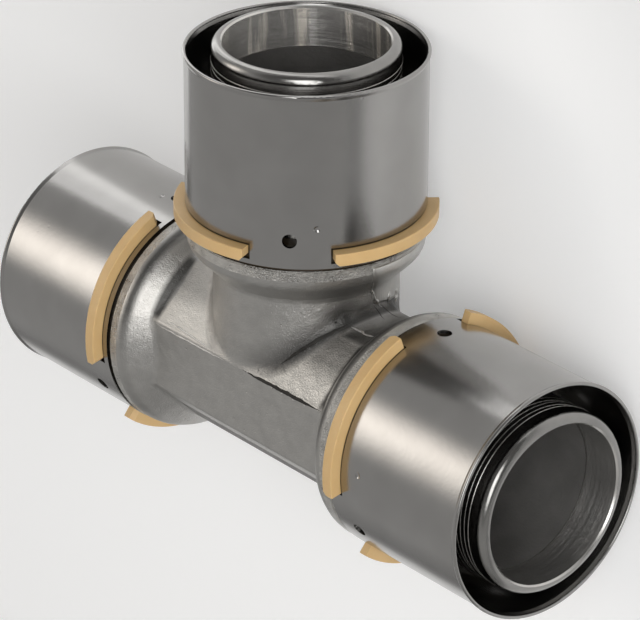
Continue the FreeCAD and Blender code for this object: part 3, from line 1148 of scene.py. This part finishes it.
@dataclass
class Lamp:
    """A soft rectangular studio lamp that points at the tee and fades towards its edges."""

    name: str
    place: Triple
    width: float
    height: float
    radiance: float
    colour: Triple = (1.0, 1.0, 1.0)
    core: float = 0.5
    faces: Triple | None = None
    in_gloss: bool = True
    watts_per_radiance: float = 4.0

    def fade(self, data: bpy.types.AreaLight) -> None:
        """Let the lamp's glow fall off between its core and its edges.

        Args:
            data: The lamp's light data.
        """
        data.use_nodes = True
        sheet = NodeSheet(data.node_tree)
        spot = sheet.add("ShaderNodeSeparateXYZ", sheet.add("ShaderNodeNewGeometry").outputs["Parametric"])
        shares = []
        for axis in ("X", "Y"):
            away = sheet.math("ABSOLUTE", sheet.math("MULTIPLY_ADD", spot.outputs[axis], 2.0, -1.0))
            share = sheet.spread(away, (self.core, 1.0, 1.0, 0.0))
            share.node.interpolation_type = "SMOOTHSTEP"
            shares.append(share)
        sheet.fill(data.node_tree.nodes["Emission"], Strength=sheet.math("MULTIPLY", *shares))

    def build(self, aim: Vector) -> None:
        """Place the lamp.

        Args:
            aim: The point that it looks at.
        """
        data = bpy.data.lights.new(self.name, "AREA")
        data.shape = "RECTANGLE"
        data.size = self.width
        data.size_y = self.height
        data.energy = self.watts_per_radiance * self.width * self.height * self.radiance
        data.color = self.colour
        self.fade(data)
        lamp = add_object(self.name, data)
        lamp.location = Vector(self.place)
        away = lamp.location - aim if self.faces is None else -Vector(self.faces)
        lamp.rotation_mode = "QUATERNION"
        lamp.rotation_quaternion = (-away).to_track_quat("-Z", "Y")
        lamp.visible_camera = False
        lamp.visible_glossy = self.in_gloss
        log.info("lamp %s", self.name)


@dataclass(frozen=True)
class DarkSide:
    """A darker side of the room: its direction, where it is full and where it ends in degrees, its level."""

    towards: Triple
    full_to: float
    ends_at: float
    level: float


@dataclass
class Studio:
    """Pale floor, soft lamps, even surroundings and the camera."""

    aim: Vector
    floor_half: float = 3.0
    floor_colour: Triple = (0.86, 0.86, 0.86)
    painted_falloff_colour: Triple = (0.34, 0.34, 0.34)
    floor_middle: Triple = (-0.09, -0.05, 0.0)
    floor_painted_falloff: Band = (0.19, 0.38, 0.0, 1.0)
    floor_glow: float = 0.26
    floor_roughness: float = 0.8
    floor_shine: float = 0.1
    surround: float = 0.46
    room_tint: Triple = (1.0, 0.99, 0.975)
    dark_sides: tuple[DarkSide, ...] = (
        DarkSide((0.58, 0.58, 0.57), 42.0, 62.0, 0.38),
        DarkSide((-0.17, -0.95, -0.26), 30.0, 46.0, 0.58),
    )
    lamps: tuple[Lamp, ...] = (
        Lamp("lamp_warm_side", (-1.787, 0.650, 1.773), 2.3, 1.6, 2.0, (1.0, 0.93, 0.85), core=0.05),
        Lamp("lamp_front", (1.03, 0.41, 1.04), 1.5, 0.9, 2.7, core=0.45),
        Lamp("lamp_fill", (1.45, 0.25, 0.60), 0.8, 0.8, 6.4, in_gloss=False),
        Lamp("lamp_low_panel", (-0.35, 0.53, 0.062), 1.1, 1.0, 0.85, core=0.92, faces=(0.07, -0.08, 1.0)),
    )
    camera_place: Triple = (0.74427, 0.47602, 0.67058)
    camera_back: Triple = (0.678372, 0.446965, 0.583123)
    camera_up: Triple = (-0.341341, 0.894545, -0.288574)
    camera_lens: float = 226.03
    camera_sensor: float = 36.0
    camera_clip: tuple[float, float] = (0.05, 20.0)

    def build_floor(self) -> None:
        """Lay the pale floor, with a painted pool of light that leaves it pale near the tee and darker far
        from it, and a faint glow of its own to thin the shadow.
        """
        half = self.floor_half
        mesh = bpy.data.meshes.new("studio_floor")
        corners = [(-half, -half, 0.0), (half, -half, 0.0), (half, half, 0.0), (-half, half, 0.0)]
        mesh.from_pydata(corners, [], [(0, 1, 2, 3)])
        floor = add_object("studio_floor", mesh)
        made, sheet, shader = start_material("studio_paper")
        here = sheet.add("ShaderNodeTexCoord").outputs["Object"]
        # Painted pool of light: the floor's colour darkens with distance from the tee, as it would where
        # lamplight falls off.
        far = sheet.spread(sheet.vector("DISTANCE", here, self.floor_middle), self.floor_painted_falloff)
        colour = sheet.mix_colour(far, self.floor_colour, self.painted_falloff_colour)
        path = sheet.add("ShaderNodeLightPath").outputs
        seen = sheet.math("ADD", path["Is Camera Ray"], path["Is Glossy Ray"], clamp=True)
        seen = sheet.math("ADD", seen, path["Is Transmission Ray"], clamp=True)
        glow = sheet.math("MULTIPLY", seen, self.floor_glow)
        sheet.fill(shader, Base_Color=colour, Emission_Color=colour, Emission_Strength=glow)
        sheet.fill(shader, Roughness=self.floor_roughness, Specular_IOR_Level=self.floor_shine)
        mesh.materials.append(made)
        log.info("studio floor")

    def build_surround(self) -> None:
        """Set the grey of the room: even, with two darker sides as a studio has."""
        world = bpy.data.worlds.new("studio_room")
        world.use_nodes = True
        sheet = NodeSheet(world.node_tree)
        heading = sheet.add("ShaderNodeTexCoord").outputs["Generated"]
        level = self.surround
        for side in self.dark_sides:
            near = sheet.vector("DOT_PRODUCT", heading, tuple(Vector(side.towards).normalized()))
            outer, inner = (math.cos(math.radians(angle)) for angle in (side.ends_at, side.full_to))
            level = sheet.math("MULTIPLY", level, sheet.spread(near, (outer, inner, 1.0, side.level)))
        tinted = (sheet.math("MULTIPLY", level, tint) for tint in self.room_tint)
        shade = sheet.add("ShaderNodeCombineColor", *tinted)
        sheet.fill(world.node_tree.nodes["Background"], Color=shade.outputs[0])
        bpy.context.scene.world = world

    def build_camera(self) -> None:
        """Set the camera at the photograph's viewing angle."""
        back = Vector(self.camera_back).normalized()
        right = Vector(self.camera_up).cross(back).normalized()
        up = back.cross(right)
        turn = Matrix((right, up, back)).transposed()
        data = bpy.data.cameras.new("camera")
        data.lens = self.camera_lens
        data.sensor_width = self.camera_sensor
        data.clip_start, data.clip_end = self.camera_clip
        camera = add_object("camera", data)
        camera.matrix_world = Matrix.Translation(Vector(self.camera_place)) @ turn.to_4x4()
        bpy.context.scene.camera = camera
        log.info("camera")

    def build(self) -> None:
        """Build all of it."""
        self.build_camera()
        self.build_floor()
        self.build_surround()
        for lamp in self.lamps:
            lamp.build(self.aim)
        bpy.context.scene.view_settings.view_transform = "Standard"


def axes_crossing() -> Vector:
    """Give the point where the port axes cross, read from the sleeves."""
    run_low, run_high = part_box("sleeve_run_a")
    branch_low, branch_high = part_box("sleeve_branch")
    run, branch = (run_low + run_high) / 2, (branch_low + branch_high) / 2
    return Vector((branch.x, run.y, run.z))


def main() -> None:
    """Dress the tee and set the studio round it."""
    logging.basicConfig(level=logging.INFO, format="%(name)s %(message)s")
    middle = axes_crossing()
    ports = [Port.from_frame(name, middle) for name in PortName]
    Studio(middle).build()
    effects = Effects()
    TeeBody(ports, middle, effects).dress()
    CastMarks(frame["nodes"]["tee_body"], ports[0], middle, effects).dress()
    for port in ports:
        PortParts(port, effects).dress()


if __name__ == "__main__":
    main()
